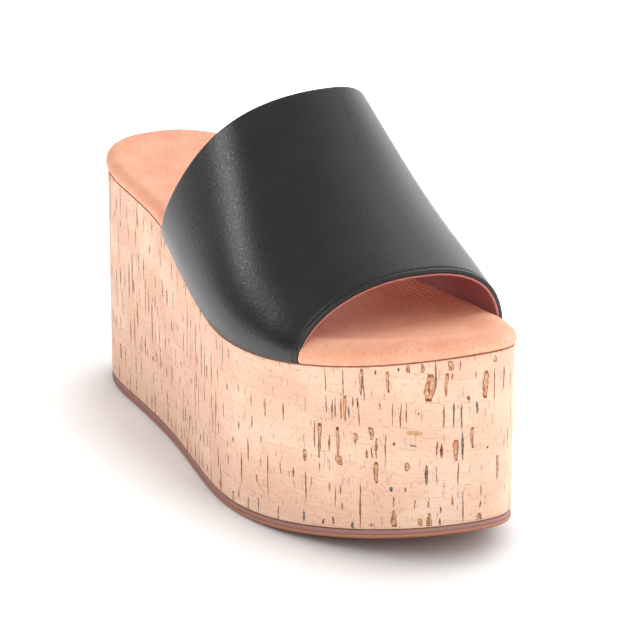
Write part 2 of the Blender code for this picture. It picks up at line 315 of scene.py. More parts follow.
    # joints between the rows of slices, fading in and out
    fraction = addNode(tree, "ShaderNodeMath", {0: row}, operation="FRACT")
    line = addNode(tree, "ShaderNodeValToRGB", {0: fraction}, stops=[(0.0, 1.0), (0.045, 0.0)])
    fade = addNode(tree, "ShaderNodeTexNoise", {"Vector": wrap, "Scale": 1 / (12 * mm)})
    faint = addNode(tree, "ShaderNodeValToRGB", {0: fade}, stops=[(0.45, 0.0), (0.62, 0.5)])
    joints = addNode(tree, "ShaderNodeMath", {0: line, 1: faint}, operation="MULTIPLY")
    colour = addNode(tree, "ShaderNodeMix", {
        0: joints, 6: colour, 7: linear(corkLooks["joint"]),
    }, data_type="RGBA")
    dips = addNode(tree, "ShaderNodeMath", {0: pores, 1: joints}, operation="MAXIMUM")
    surface = addNode(tree, "ShaderNodeMath", {0: 1.0, 1: dips}, operation="SUBTRACT")
    grain = addNode(tree, "ShaderNodeBump", {"Height": crumb, "Distance": 0.10 * mm, "Strength": 0.6})
    relief = addNode(tree, "ShaderNodeBump", {
        "Height": surface, "Distance": 0.25 * mm, "Strength": 0.8, "Normal": grain,
    })
    feed(tree, shader, {"Base Color": colour, "Normal": relief})
    return made


def makeBark(name, darkHex, lightHex):
    # Bark left in the slice: rougher and darker than the cork, so it reads as a dry inlay
    made, tree, shader = newMaterial(name, {"Roughness": 0.85, "IOR": 1.45, "Specular IOR Level": 0.25})
    place = addNode(tree, "ShaderNodeTexCoord").outputs["Object"]
    blotches = addNode(tree, "ShaderNodeTexNoise", {
        "Vector": place, "Scale": 1 / (1.3 * mm), "Detail": 3.0, "Roughness": 0.65,
    })
    colour = addNode(tree, "ShaderNodeValToRGB", {0: blotches}, stops=[(0.36, darkHex), (0.62, lightHex)])
    relief = addNode(tree, "ShaderNodeBump", {"Height": blotches, "Distance": 0.1 * mm})
    feed(tree, shader, {"Base Color": colour, "Normal": relief})
    return made


leatherLooks = {
    "deep": "#121211",
    "worn": "#1c1b1b",
    "grain": 0.75 * mm,  # real grain is near 0.3 mm, drawn coarser so that it shows
    "gloss": (0.25, 0.33),
}


def makeBandLeather():
    # Finished calf, sprayed and pressed: a smooth near black with a soft gloss, in which the fine
    # pebble of the grain sparkles where a lamp is mirrored.
    made, tree, shader = newMaterial("calf leather, finished black", {"IOR": 1.5, "Specular IOR Level": 0.5})
    place = addNode(tree, "ShaderNodeTexCoord").outputs["Object"]
    patches = addNode(tree, "ShaderNodeTexNoise", {"Vector": place, "Scale": 1 / (18 * mm), "Detail": 3.0})
    colour = addNode(tree, "ShaderNodeValToRGB", {0: patches}, stops=[
        (0.35, leatherLooks["deep"]), (0.7, leatherLooks["worn"]),
    ])
    sheen = addNode(tree, "ShaderNodeTexNoise", {"Vector": place, "Scale": 1 / (1.3 * mm), "Detail": 3.0})
    least, most = leatherLooks["gloss"]
    gloss = addNode(tree, "ShaderNodeValToRGB", {0: sheen}, stops=[(0.3, least), (0.7, most)])
    pebble = addNode(tree, "ShaderNodeTexVoronoi", {
        "Vector": place, "Scale": 1 / leatherLooks["grain"],
    }, feature="SMOOTH_F1")
    fine = addNode(tree, "ShaderNodeTexNoise", {"Vector": place, "Scale": 1 / (0.5 * mm), "Roughness": 0.6})
    grain = addNode(tree, "ShaderNodeBump", {"Height": pebble, "Distance": 0.08 * mm, "Strength": 0.7})
    relief = addNode(tree, "ShaderNodeBump", {
        "Height": fine, "Distance": 0.05 * mm, "Strength": 0.7, "Normal": grain,
    })
    feed(tree, shader, {"Base Color": colour, "Roughness": gloss, "Normal": relief})
    return made


sheepLooks = {
    # light, middle and deep tone of each piece
    "sock": ("#f0b394", "#eaa283", "#d98c6c"),
    "lining": ("#c98a86", "#bf7f7c", "#ac6c69"),
    "wrinkle": 1.9 * mm,
    "wrinkleDepth": 0.22 * mm,
}


def makeSheepskin(name, tones, wrinkled=False):
    # Aniline sheepskin, unfinished: matt and soft, with a fine mottled grain
    made, tree, shader = newMaterial(name, {"Roughness": 0.62, "IOR": 1.45, "Specular IOR Level": 0.35})
    light, middle, deep = tones
    place = addNode(tree, "ShaderNodeTexCoord").outputs["Object"]
    clouds = addNode(tree, "ShaderNodeTexNoise", {
        "Vector": place, "Scale": 1 / (13 * mm), "Detail": 3.0, "Roughness": 0.6,
    })
    base = addNode(tree, "ShaderNodeValToRGB", {0: clouds}, stops=[(0.35, middle), (0.65, light)])
    specks = addNode(tree, "ShaderNodeTexNoise", {
        "Vector": place, "Scale": 1 / (1.1 * mm), "Detail": 3.0, "Roughness": 0.7,
    })
    spots = addNode(tree, "ShaderNodeValToRGB", {0: specks}, stops=[(0.36, 0.55), (0.5, 0.0)])
    colour = addNode(tree, "ShaderNodeMix", {0: spots, 6: base, 7: linear(deep)}, data_type="RGBA")
    pebble = addNode(tree, "ShaderNodeTexNoise", {
        "Vector": place, "Scale": 1 / (0.7 * mm), "Detail": 3.0, "Roughness": 0.6,
    })
    relief = addNode(tree, "ShaderNodeBump", {"Height": pebble, "Distance": 0.08 * mm, "Strength": 0.7})
    if wrinkled:
        # fine folds under the band, running along the foot: the wave's period is 0.314 over its scale
        folds = addNode(tree, "ShaderNodeTexWave", {
            "Vector": place, "Scale": 0.314 / sheepLooks["wrinkle"], "Distortion": 7.0,
            "Detail": 2.0, "Detail Scale": 0.6,
        })
        parts = addNode(tree, "ShaderNodeSeparateXYZ", {0: place})
        alongFoot = addNode(tree, "ShaderNodeMath", {
            0: parts.outputs[1], 1: 1 / (60 * mm), 2: 1.25,
        }, operation="MULTIPLY_ADD")
        reach = addNode(tree, "ShaderNodeValToRGB", {0: alongFoot}, stops=[
            (0.05, 0.0), (0.4, 1.0), (0.75, 1.0), (1.0, 0.0),
        ])
        acrossFoot = addNode(tree, "ShaderNodeMath", {
            0: parts.outputs[0], 1: 1 / (50 * mm),
        }, operation="MULTIPLY")
        side = addNode(tree, "ShaderNodeValToRGB", {0: acrossFoot}, stops=[(0.0, 0.1), (0.3, 1.0)])
        share = addNode(tree, "ShaderNodeMath", {0: reach, 1: side}, operation="MULTIPLY")
        folded = addNode(tree, "ShaderNodeMath", {0: folds, 1: share}, operation="MULTIPLY")
        relief = addNode(tree, "ShaderNodeBump", {
            "Height": folded, "Distance": sheepLooks["wrinkleDepth"], "Normal": relief,
        })
    feed(tree, shader, {"Base Color": colour, "Normal": relief})
    return made


def makeRubber():
    # Moulded rubber sheet in two layers: mauve brown over orange brown, dull, with a fine skin
    made, tree, shader = newMaterial("rubber sheet, moulded brown", {
        "Roughness": 0.55, "IOR": 1.52, "Specular IOR Level": 0.4,
    })
    wrap = addNode(tree, "ShaderNodeUVMap", uv_map="wrap")
    lift = addNode(tree, "ShaderNodeSeparateXYZ", {0: wrap}).outputs[1]
    wander = addNode(tree, "ShaderNodeTexNoise", {"Vector": wrap, "Scale": 1 / (6 * mm)})
    height = addNode(tree, "ShaderNodeMath", {0: wander, 1: 0.3 * mm, 2: lift}, operation="MULTIPLY_ADD")
    level = addNode(tree, "ShaderNodeMath", {0: height, 1: soleSizes["outsole"]}, operation="DIVIDE")
    layers = addNode(tree, "ShaderNodeValToRGB", {0: level}, stops=[
        (0.0, "#8a4f38"), (0.38, "#b87a5b"), (0.50, "#9d6f66"), (0.88, "#a27a70"), (1.0, "#94685c"),
    ])
    place = addNode(tree, "ShaderNodeTexCoord").outputs["Object"]
    specks = addNode(tree, "ShaderNodeTexNoise", {
        "Vector": place, "Scale": 1 / (0.8 * mm), "Detail": 3.0, "Roughness": 0.6,
    })
    dust = addNode(tree, "ShaderNodeValToRGB", {0: specks}, stops=[(0.3, 0.7), (0.6, 1.0)])
    colour = addNode(tree, "ShaderNodeMix", {
        0: 0.35, 6: layers, 7: dust,
    }, data_type="RGBA", blend_type="MULTIPLY")
    skin = addNode(tree, "ShaderNodeBump", {"Height": specks, "Distance": 0.06 * mm, "Strength": 0.6})
    feed(tree, shader, {"Base Color": colour, "Normal": skin})
    return made


def makeTrim(name, darkHex, lightHex, roughness, size=1.0 * mm):
    # A small trim: two close tones in fine blotches, with a slight skin
    made, tree, shader = newMaterial(name, {"Roughness": roughness, "Specular IOR Level": 0.4})
    place = addNode(tree, "ShaderNodeTexCoord").outputs["Object"]
    blotches = addNode(tree, "ShaderNodeTexNoise", {"Vector": place, "Scale": 1 / size, "Roughness": 0.6})
    colour = addNode(tree, "ShaderNodeValToRGB", {0: blotches}, stops=[(0.35, darkHex), (0.65, lightHex)])
    skin = addNode(tree, "ShaderNodeBump", {"Height": blotches, "Distance": 0.05 * mm, "Strength": 0.6})
    feed(tree, shader, {"Base Color": colour, "Normal": skin})
    return made


# Meshes


def newPiece(name, points, faces, material, uv=None, sharp=40.0):
    mesh = bpy.data.meshes.new(name)
    mesh.from_pydata(np.asarray(points, float).reshape(-1, 3).tolist(), [], faces)
    if uv is not None:
        layer = mesh.uv_layers.new(name="wrap")
        layer.data.foreach_set("uv", np.asarray(uv, float).ravel())
    mesh.shade_smooth()
    mesh.set_sharp_from_angle(angle=math.radians(sharp))
    piece = bpy.data.objects.new(name, mesh)
    bpy.context.scene.collection.objects.link(piece)
    for one in material if isinstance(material, list) else [material]:
        mesh.materials.append(one)
    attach(piece, "root")
    return piece


def facesOut(piece):
    # turns the faces of a closed piece outward
    work = bmesh.new()
    work.from_mesh(piece.data)
    bmesh.ops.recalc_face_normals(work, faces=work.faces)
    work.to_mesh(piece.data)
    work.free()


def gridFaces(rows, columns, closed=False, first=0):
    faces = []
    for r in range(rows - 1):
        for c in range(columns if closed else columns - 1):
            nextColumn = (c + 1) % columns
            low = first + r * columns
            faces.append((low + c, low + nextColumn, low + columns + nextColumn, low + columns + c))
    return faces


def capFaces(first, count):
    # closes a ring of the outline with strips from side to side
    faces = []
    for i in range(count // 2):
        across = [i, i + 1, count - i - 1, (count - i) % count]
        faces.append([first + k for k in dict.fromkeys(across)])
    return faces


def loftPiece(name, rings, lifts, material):
    # a solid through rings of the outline, with the way round and the lift kept for the materials
    count = len(rings[0])
    sides = gridFaces(len(rings), count, closed=True)
    uv = []
    for r in range(len(rings) - 1):
        for c in range(count):
            uv += [
                (outlineArc[c], lifts[r][c]),
                (outlineArc[c + 1], lifts[r][(c + 1) % count]),
                (outlineArc[c + 1], lifts[r + 1][(c + 1) % count]),
                (outlineArc[c], lifts[r + 1][c]),
            ]
    caps = capFaces(0, count) + capFaces((len(rings) - 1) * count, count)
    points = np.concatenate(rings)
    uv += [(points[k][0], points[k][1]) for face in caps for k in face]
    piece = newPiece(name, points, sides + caps, material, uv)
    facesOut(piece)
    return piece


def buildOutsole():
    side = -soleSizes["taper"]
    half = soleSizes["outsole"] / 2
    edge = 0.6 * mm
    step = 0.35 * mm  # the upper layer stands back
    levels = [(side - edge * inset, edge * short) for short, inset in quarter(4)]
    levels += [(side, half * 0.7), (side - 0.05 * mm, half * 0.93), (side - step, half * 1.0)]
    levels += [(side - step, half * 1.6), (side - step - 0.15 * mm, half * 2)]
    rings = [ring(out, lambda at, lift=lift: floorZ(at) + lift) for out, lift in levels]
    lifts = [np.full(len(outline), lift) for _, lift in levels]
    piece = loftPiece("outsoleRubber", rings, lifts, makeRubber())
    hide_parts("outsole")


corkShape = {
    "roll": 1.2 * mm,  # turns in over the outsole
    "topRoll": 0.5 * mm,  # turns in under the insole
    "wallSteps": 14,
}


def corkLevels():
    # outset and height share of the cork's wall, low to high
    levels = []
    for step in range(corkShape["wallSteps"] + 1):
        share = step / corkShape["wallSteps"]
        levels.append((-soleSizes["taper"] * (1 - share), share))
    return levels


def corkBase(at):
    return floorZ(at) + soleSizes["outsole"] + 0.1 * mm


def buildPlatform(material):
    roll = corkShape["roll"]
    top = corkShape["topRoll"]
    rings, lifts = [], []

    def addRing(out, height):
        made = ring(out, height)
        rings.append(made)
        lifts.append(made[:, 2])

    for short, inset in quarter(4):
        addRing(-soleSizes["taper"] - roll * inset, lambda at, s=short: corkBase(at) + roll * s)
    for out, share in corkLevels():
        addRing(out, lambda at, s=share: (corkBase(at) + roll) * (1 - s) + (seamZ(at) - top) * s)
    for inset, short in quarter(3)[1:]:
        addRing(-top * inset, lambda at, s=short: seamZ(at) - top * s)
    piece = loftPiece("corkPlatform", rings, lifts, material)
    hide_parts("platform")


def corkPoint(along, height, lift):
    # a place on the cork's wall: metres round from the heel, and height over the floor
    along = np.mod(along, perimeter)
    wrapped = lambda values: np.interp(along, outlineArc, np.append(values, values[0]))
    x, y = wrapped(outline[:, 0]), wrapped(outline[:, 1])
    awayX, awayY = wrapped(outlineAway[:, 0]), wrapped(outlineAway[:, 1])
    at = shareAt(y)
    low, high = corkBase(at), seamZ(at)
    height = np.clip(height, low + 0.5 * mm, high - 0.25 * mm)
    out = lift - soleSizes["taper"] * (1 - (height - low) / (high - low))
    return np.stack([x + awayX * out, y + awayY * out, height], -1)


fleckLooks = {
    "seed": 23,
    "rowHeight": (7.0 * mm, 13.0 * mm),
    "blockWidth": (14 * mm, 42 * mm),
    "spacing": (3.5 * mm, 10.0 * mm),
    "chartedEnd": (-72 * mm, 20 * mm),  # round from the toe's tip, charted below and not scattered
    "steps": 7,
    "lift": 0.04 * mm,
}

# The marks that show most at the toe. Places and lengths were read off the photo by eye and turned
# into millimetres by a scratch script, while widths and kinds were chosen by eye. A row holds the
# way round from the toe's tip (minus is the outer side), the mark's foot over the floor, its
# length, its width and its kind. A foot is a pocket wide at its foot, and a top one wide at its top.
toeMarks = [
    (-62.5, 60.5, 9, 0.5, "crack"), (-55.0, 60.5, 10, 0.5, "crack"), (-48.0, 62.0, 10, 1.6, "top"),
    (-46.5, 60.0, 12, 0.5, "slate"), (-42.0, 70.5, 2, 0.6, "crack"), (-37.0, 64.5, 8, 1.2, "top"),
    (-33.5, 73.0, 1.5, 0.8, "slate"), (-30.0, 73.0, 2.8, 1.6, "foot"), (-25.0, 73.5, 3.2, 1.3, "foot"),
    (-20.0, 67.0, 11, 0.8, "slate"), (-22.7, 62.5, 10.5, 3.2, "block"), (-16.4, 64.5, 9, 1.0, "top"),
    (-14.3, 71.0, 2.6, 0.6, "crack"), (-14.6, 74.5, 3.6, 1.6, "block"), (-11.2, 74.5, 3.6, 0.5, "crack"),
    (-5.4, 71.0, 3, 0.4, "crack"), (-1.7, 63.0, 10.5, 1.7, "block"), (1.7, 61.0, 13, 0.6, "crack"),
    (6.8, 64.5, 9, 0.9, "slate"), (12.8, 63.0, 7.5, 0.6, "slate"), (2.2, 76.0, 2.5, 2.0, "foot"),
    (-62.0, 52.5, 7, 0.6, "slate"), (-60.0, 50.0, 8, 0.6, "crack"), (-58.5, 51.0, 8.5, 0.5, "crack"),
    (-56.0, 51.0, 8, 0.6, "crack"), (-54.4, 51.0, 9.5, 1.6, "top"), (-52.6, 52.0, 5, 0.6, "slate"),
    (-51.2, 56.5, 4.3, 0.6, "crack"), (-49.4, 56.5, 4.3, 0.7, "crack"), (-48.4, 50.0, 8, 0.5, "crack"),
    (-40.2, 57.5, 3, 0.5, "crack"), (-35.7, 51.5, 9.5, 0.35, "crack"), (-32.8, 51.5, 9.5, 0.8, "crack"),
    (-30.3, 53.5, 8, 0.5, "crack"), (-17.1, 52.5, 9.5, 0.6, "crack"), (-13.5, 52.5, 9.5, 0.9, "slate"),
    (-10.5, 52.0, 9.5, 0.8, "slate"), (-4.6, 57.5, 4.8, 1.0, "slate"), (-8.3, 62.8, 1.8, 1.4, "crack"),
    (18.0, 39.0, 11.5, 0.6, "crack"), (11.2, 40.5, 9, 0.6, "crack"), (8.0, 42.0, 5, 0.5, "crack"),
    (-67.7, 38.0, 10.5, 0.6, "crack"), (-65.5, 34.5, 13.5, 1.6, "top"), (-60.9, 38.0, 6.5, 1.0, "crack"),
    (-57.2, 37.0, 11, 1.4, "top"), (-56.5, 33.5, 3.6, 2.4, "block"), (-50.2, 43.0, 4, 2.0, "top"),
    (-43.9, 45.5, 4.7, 2.2, "top"), (-42.0, 41.5, 5, 1.1, "foot"), (-45.5, 38.0, 3.5, 1.1, "crack"),
    (-43.2, 38.5, 4.3, 0.9, "crack"), (-41.9, 38.5, 4, 0.6, "slate"), (-38.1, 38.5, 10, 0.5, "crack"),
    (-35.0, 44.5, 1.4, 1.0, "slate"), (-27.6, 49.2, 1.8, 6.0, "bar"), (-28.0, 44.8, 0.6, 2.6, "dash"),
    (-19.5, 42.0, 5.5, 0.7, "crack"), (-17.6, 41.0, 5.6, 1.0, "crack"), (-12.4, 40.0, 8, 2.2, "top"),
    (-10.0, 40.0, 11.5, 1.0, "slate"), (-6.4, 44.5, 8, 1.1, "top"), (-1.0, 43.5, 1, 0.8, "crack"),
    (-71.9, 31.8, 4.4, 2.0, "top"), (-42.0, 29.0, 8.3, 2.2, "top"), (-30.4, 35.4, 3.2, 1.4, "block"),
    (-22.9, 30.4, 8, 1.1, "slate"), (-11.6, 30.7, 8.8, 0.5, "crack"), (4.0, 30.8, 9.2, 1.2, "top"),
    (-19.5, 31.0, 7, 0.35, "crack"), (-65.5, 29.5, 3.5, 0.5, "slate"), (-71.4, 16.7, 11, 0.6, "crack"),
    (-69.5, 22.0, 4.5, 0.4, "crack"), (-60.9, 21.7, 4.3, 0.5, "crack"), (-58.5, 16.0, 9, 0.4, "crack"),
    (-56.4, 22.0, 4, 0.5, "crack"), (-56.2, 16.1, 3, 0.5, "crack"), (-48.4, 10.8, 17.2, 0.7, "crack"),
    (-35.9, 26.6, 2, 1.4, "slate"), (-35.4, 20.8, 4.3, 0.6, "crack"), (-35.2, 13.3, 6.2, 2.4, "foot"),
    (-30.9, 27.0, 2, 0.7, "crack"), (-27.4, 20.9, 3.6, 0.5, "crack"), (-22.3, 21.7, 2.5, 0.5, "crack"),
    (-22.2, 14.6, 5.2, 2.3, "foot"), (-25.2, 14.6, 2.8, 1.2, "block"), (-17.8, 20.0, 2.4, 0.7, "crack"),
    (-18.3, 14.8, 3.2, 0.9, "slate"), (-13.6, 22.5, 4.4, 0.5, "crack"), (-9.8, 15.7, 12.4, 0.6, "slate"),
    (-3.0, 25.7, 4, 0.5, "crack"), (-3.5, 21.3, 2.8, 0.6, "crack"), (-3.5, 16.2, 3, 2.6, "foot"),
    (15.4, 14.4, 4.5, 0.6, "crack"), (-72.7, 8.1, 4, 1.4, "slate"), (-51.4, 10.0, 2.6, 1.3, "slate"),
    (-64.0, 9.0, 2.2, 1.0, "crack"), (-59.5, 10.0, 3.0, 0.8, "crack"), (-44.0, 12.0, 1.2, 0.9, "crack"),
    (9.0, 24.0, 3.5, 0.4, "slate"), (14.0, 47.0, 14, 0.4, "crack"), (-26.0, 57.0, 1.0, 0.8, "slate"),
]

# Joints between slices that show at the toe: from and to round from the toe's tip, height at both
toeJoints = [
    (-62, -46, 60.8, 60.2), (-46, -18, 61.0, 62.0), (-18, 8, 62.6, 61.0), (-70, -44, 50.2, 49.2),
    (-40, -20, 51.2, 51.8), (-26, -6, 48.4, 49.0), (-72, -58, 37.8, 36.6), (-56, -44, 35.4, 33.6),
    (-41, -24, 33.6, 30.6), (-20, 16, 30.2, 30.8), (-46, -33, 20.6, 19.0), (-70, -52, 14.4, 13.8),
    (-8, 4, 25.2, 25.0), (-6, 14, 52.4, 51.4), (-30, -12, 72.8, 73.4),
]


class FleckSheet:
    # gathers small inlays in the cork's wall into one mesh

    def __init__(self):
        self.points, self.faces, self.tones, self.size = [], [], [], 0

    def add(self, along, height, halfWidth, tone, lift=0.0):
        # arrays along the fleck, bottom to top
        left = corkPoint(along - halfWidth, height, fleckLooks["lift"] + lift)
        right = corkPoint(along + halfWidth, height, fleckLooks["lift"] + lift)
        first, count = self.size, len(along)
        self.size += 2 * count
        self.points.append(np.concatenate([left, right]))
        for i in range(count - 1):
            self.faces.append((first + i, first + count + i, first + count + i + 1, first + i + 1))
            self.tones.append(tone)


def addCrack(sheet, draw, along, foot, length, width, tone):
    # a thin upright crack with ragged edges
    share = np.linspace(0, 1, fleckLooks["steps"])
    path = along + np.cumsum(draw.normal(0, 0.09 * mm, len(share)))
    half = width / 2 * (0.25 + 0.75 * np.sin(math.pi * share) ** 0.6) * draw.uniform(0.5, 1.3, len(share))
    sheet.add(path, foot + length * share, half, tone)


def addPocket(sheet, draw, along, foot, length, width, kind):
    # a pocket of tan bark with a thin dark rim, widest at its foot, at its top or all the way
    share = np.linspace(0, 1, fleckLooks["steps"] + 3)
    ends = np.sin(math.pi * np.clip(share, 0.03, 0.97)) ** 0.3
    lean = {"foot": 1 - 0.8 * share, "top": 0.2 + 0.8 * share, "block": 1 + 0 * share}[kind]
    path = along + np.cumsum(draw.normal(0, 0.12 * mm, len(share)))
    half = width / 2 * ends * lean * draw.uniform(0.8, 1.15, len(share))
    rim = draw.uniform(0.10, 0.30, len(share)) * mm
    sheet.add(path, foot + length * share, half + rim, 0)
    inner = slice(1, -1)
    sheet.add(path[inner], (foot + length * share)[inner], half[inner] * 0.9, 2, 0.03 * mm)
    for _ in range(int(width / (1.1 * mm))):
        place = along + draw.uniform(-0.3, 0.3) * width
        inside = length * draw.uniform(0.3, 0.6)
        addCrackOver(sheet, draw, place, foot + draw.uniform(0.1, 0.4) * length, inside)


def addCrackOver(sheet, draw, along, foot, length):
    # a short crack inside a pocket
    share = np.linspace(0, 1, 4)
    half = 0.16 * mm * draw.uniform(0.6, 1.2, 4)
    sheet.add(along + draw.normal(0, 0.06 * mm, 4), foot + length * share, half, 0, 0.05 * mm)


def addBar(sheet, draw, along, height, length, width, tone):
    # a mark that lies level: length is its height here and width its run
    steps = 6
    share = np.linspace(0, 1, steps)
    place = along + (share - 0.5) * width
    half = length / 2 * (0.4 + 0.6 * np.sin(math.pi * share) ** 0.5) * draw.uniform(0.8, 1.2, steps)
    middle = height + length / 2 + np.cumsum(draw.normal(0, 0.05 * mm, steps))
    low = corkPoint(place, middle - half, fleckLooks["lift"])
    high = corkPoint(place, middle + half, fleckLooks["lift"])
    first = sheet.size
    sheet.size += 2 * steps
    sheet.points.append(np.concatenate([low, high]))
    for i in range(first, first + steps - 1):
        sheet.faces.append((i, i + 1, i + 1 + steps, i + steps))
        sheet.tones.append(tone)


def chartToe(sheet, draw):
    for along, foot, length, width, kind in toeMarks:
        place = toeArc + along * mm
        size = (place, foot * mm, length * mm, width * mm)
        if kind in ("crack", "slate"):
            addCrack(sheet, draw, *size, 0 if kind == "crack" else 1)
        elif kind in ("bar", "dash"):
            addBar(sheet, draw, *size, 2 if kind == "bar" else 1)
        else:
            addPocket(sheet, draw, *size, kind)
    for start, end, startHeight, endHeight in toeJoints:
        addJoint(sheet, draw, toeArc + start * mm, toeArc + end * mm, startHeight * mm, endHeight * mm)


def addJoint(sheet, draw, start, end, startHeight, endHeight):
    # a level hairline where two slices meet, broken here and there
    place = start
    while place < end:
        run = draw.uniform(2.5, 9) * mm
        share = (place - start) / (end - start)
        height = startHeight + (endHeight - startHeight) * share
        addBar(sheet, draw, place + run / 2, height, draw.uniform(0.12, 0.26) * mm, min(run, end - place), 3)
        place += run + draw.choice([0.2, 3.0]) * mm


def scatterFlecks(sheet, draw):
    low = 2 * mm
    chartedLow, chartedHigh = (toeArc + end for end in fleckLooks["chartedEnd"])
    while low < soleSizes["heelHeight"]:
        rowHeight = draw.uniform(*fleckLooks["rowHeight"])
        along = draw.uniform(0, 20 * mm)
        while along < perimeter:
            width = draw.uniform(*fleckLooks["blockWidth"])
            if along + width < chartedLow or along > chartedHigh:
                nearToe = 1 - min(1.0, abs(along + width / 2 - toeArc) / (110 * mm))
                fillBlock(sheet, draw, along, low, width, rowHeight, nearToe)
                if draw.random() < 0.3 + 0.4 * nearToe:
                    addJoint(sheet, draw, along, along + width, low, low + draw.uniform(-1, 1) * mm)
            along += width
        low += rowHeight


def fillBlock(sheet, draw, along, low, width, rowHeight, nearToe):
    # one slice of cork: some are nearly clean, some are full of cracks
    least, most = fleckLooks["spacing"]
    spacing = least + (most - least) * draw.random()
    place = along + draw.uniform(0, spacing)
    while place < along + width:
        whole = draw.random() < 0.2
        length = rowHeight * (0.96 if whole else draw.uniform(0.15, 0.7))
        if draw.random() > nearToe:
            length *= draw.uniform(1.0, 1.8)
        start = low + (0.0 if whole else draw.uniform(0, max(rowHeight - length, 2 * mm)))
        if draw.random() < 0.02 + 0.2 * nearToe:
            kind = ("foot", "top", "block")[draw.integers(3)]
            addPocket(sheet, draw, place, start, min(length, 6 * mm), draw.uniform(1.0, 2.2) * mm, kind)
        else:
            tone = 1 if draw.random() < 0.2 else 0
            addCrack(sheet, draw, place, start, length, draw.uniform(0.35, 0.9) * mm, tone)
        place += spacing * draw.uniform(0.4, 1.6)


def buildFlecks():
    sheet = FleckSheet()
    draw = np.random.default_rng(fleckLooks["seed"])
    chartToe(sheet, draw)
    scatterFlecks(sheet, draw)
    tones = [
        makeBark("cork bark, red brown", "#6f3a2c", "#a86e52"),
        makeBark("cork bark, slate", "#4c4648", "#8d7d76"),
        makeBark("cork bark, tan", "#b98560", "#dcb08a"),
        makeBark("cork joint, pale brown", "#b98a70", "#dcb497"),
    ]
    piece = newPiece("corkFlecks", np.concatenate(sheet.points), sheet.faces, tones)
    piece.data.polygons.foreach_set("material_index", sheet.tones)


# The band over the foot

bandSizes = {
    "instep": 81.5 * mm,
    "wall": 2.0 * mm,
    "leather": 1.3 * mm,  # the rest of the wall is lining
    "swell": 5.0 * mm,
    "swellHeight": 0.17,
    "around": 220,
    "along": 60,
    "lip": 2.1 * mm,  # front edge to the stitched groove
    "groove": 0.38 * mm,
}

# Sections of the band and its two open edges, as the solids have them. Most of the values were
# fitted to the photo by a scratch script, and some were then changed by hand.
bandColumns = ("at", "top", "ridge", "lateral", "medial", "outLateral", "outMedial")
bandSections = [
    (0.36, 1.06, 0.113, 2.43, 2.64, 1.55, 0.75),
    (0.50, 1.00, 0.122, 2.16, 2.67, 1.05, 0.66),
    (0.66, 0.67, 0.080, 2.02, 2.55, 0.40, 0.55),
    (0.82, 0.33, 0.082, 1.86, 2.85, 0.09, 0.18),
]
bandCurve = curvesOf(bandColumns, bandSections)
frontEdge = {"lateral": 0.800, "medial": 0.833, "crest": 0.003, "lean": 0.000, "power": 1.50}
rearEdge = {"lateral": 0.400, "medial": 0.466, "crest": 0.101, "lean": 0.010, "power": 1.39}


def edgeAt(edge, turn):
    # share of the length along an open edge, from its outer foot over to the inner one
    across = (1 - np.cos(turn)) / 2
    foot = edge["lateral"] + (edge["medial"] - edge["lateral"]) * across
    bow = edge["crest"] * np.clip(np.sin(turn), 0, 1) ** edge["power"]
    return foot + bow + edge["lean"] * np.sin(2 * turn)


def bandPoints(at, turn):
    lateralX, medialX = sideX(at, xShift)
    top = bandSizes["instep"] * bandCurve["top"](at)
    ridge = soleSizes["ballWidth"] * bandCurve["ridge"](at) + xShift
    outer = np.cos(turn) > 0
    square = np.where(outer, bandCurve["lateral"](at), bandCurve["medial"](at))
    out = np.where(outer, bandCurve["outLateral"](at), bandCurve["outMedial"](at))
    footX = np.where(outer, lateralX, medialX)
    across = np.abs(np.cos(turn)) ** (2 / square)
    up = np.clip(np.sin(turn), 0, 1) ** (2 / square)
    share = up / bandSizes["swellHeight"]
    swell = bandSizes["swell"] * out * share * np.exp(1 - share)
    swell = swell * np.minimum(1, 1.5 * across) * np.where(outer, -1, 1)
    x = ridge + (footX - ridge) * across + swell
    return np.stack([x, soleSizes["length"] * (0.5 - at), seamZ(at) + soleSizes["gap"] + top * up], -1)


def bandTurns():
    steps = np.linspace(0, 1, bandSizes["around"] + 1)
    turns = math.pi * (steps - 0.35 * np.sin(2 * math.pi * steps) / (2 * math.pi))
    return np.clip(turns, 0, math.pi)


class BandSurface:
    # the band's outer surface as a fine grid, read by distance from its front edge

    def __init__(self):
        self.turns = bandTurns()
        self.steps = np.linspace(0, 1, 301)
        front = edgeAt(frontEdge, self.turns)
        rear = edgeAt(rearEdge, self.turns)
        at = front[None] + (rear - front)[None] * self.steps[:, None]
        self.grid = bandPoints(at, np.broadcast_to(self.turns, at.shape))
        alongWay = np.gradient(self.grid, axis=0)
        aroundWay = np.gradient(self.grid, axis=1)
        normal = np.cross(aroundWay, alongWay)
        normal /= np.linalg.norm(normal, axis=2, keepdims=True)
        middle = normal[len(self.steps) // 2, len(self.turns) // 2]
        self.normal = normal * (1 if middle[2] > 0 else -1)
        reach = np.linalg.norm(np.diff(self.grid, axis=0), axis=2)
        self.reach = np.vstack([np.zeros(len(self.turns)), np.cumsum(reach, axis=0)])
        self.total = self.reach[-1]

    def row(self, distance, depth=0.0):
        # points at a distance from the front edge, sunk by depth under the outer surface
        distance = np.broadcast_to(distance, self.total.shape)
        made = np.empty((len(self.turns), 3))
        for c in range(len(self.turns)):
            step = np.interp(distance[c], self.reach[:, c], np.arange(len(self.steps)))
            i = min(int(step), len(self.steps) - 2)
            part = step - i
            point = self.grid[i, c] * (1 - part) + self.grid[i + 1, c] * part
            away = self.normal[i, c] * (1 - part) + self.normal[i + 1, c] * part
            over = distance[c] - np.clip(distance[c], 0, self.total[c])
            if over:
                ahead = self.grid[i + 1, c] - self.grid[i, c]
                point = point + ahead / np.linalg.norm(ahead) * over
            made[c] = point - away * np.broadcast_to(depth, self.total.shape)[c]
        return made


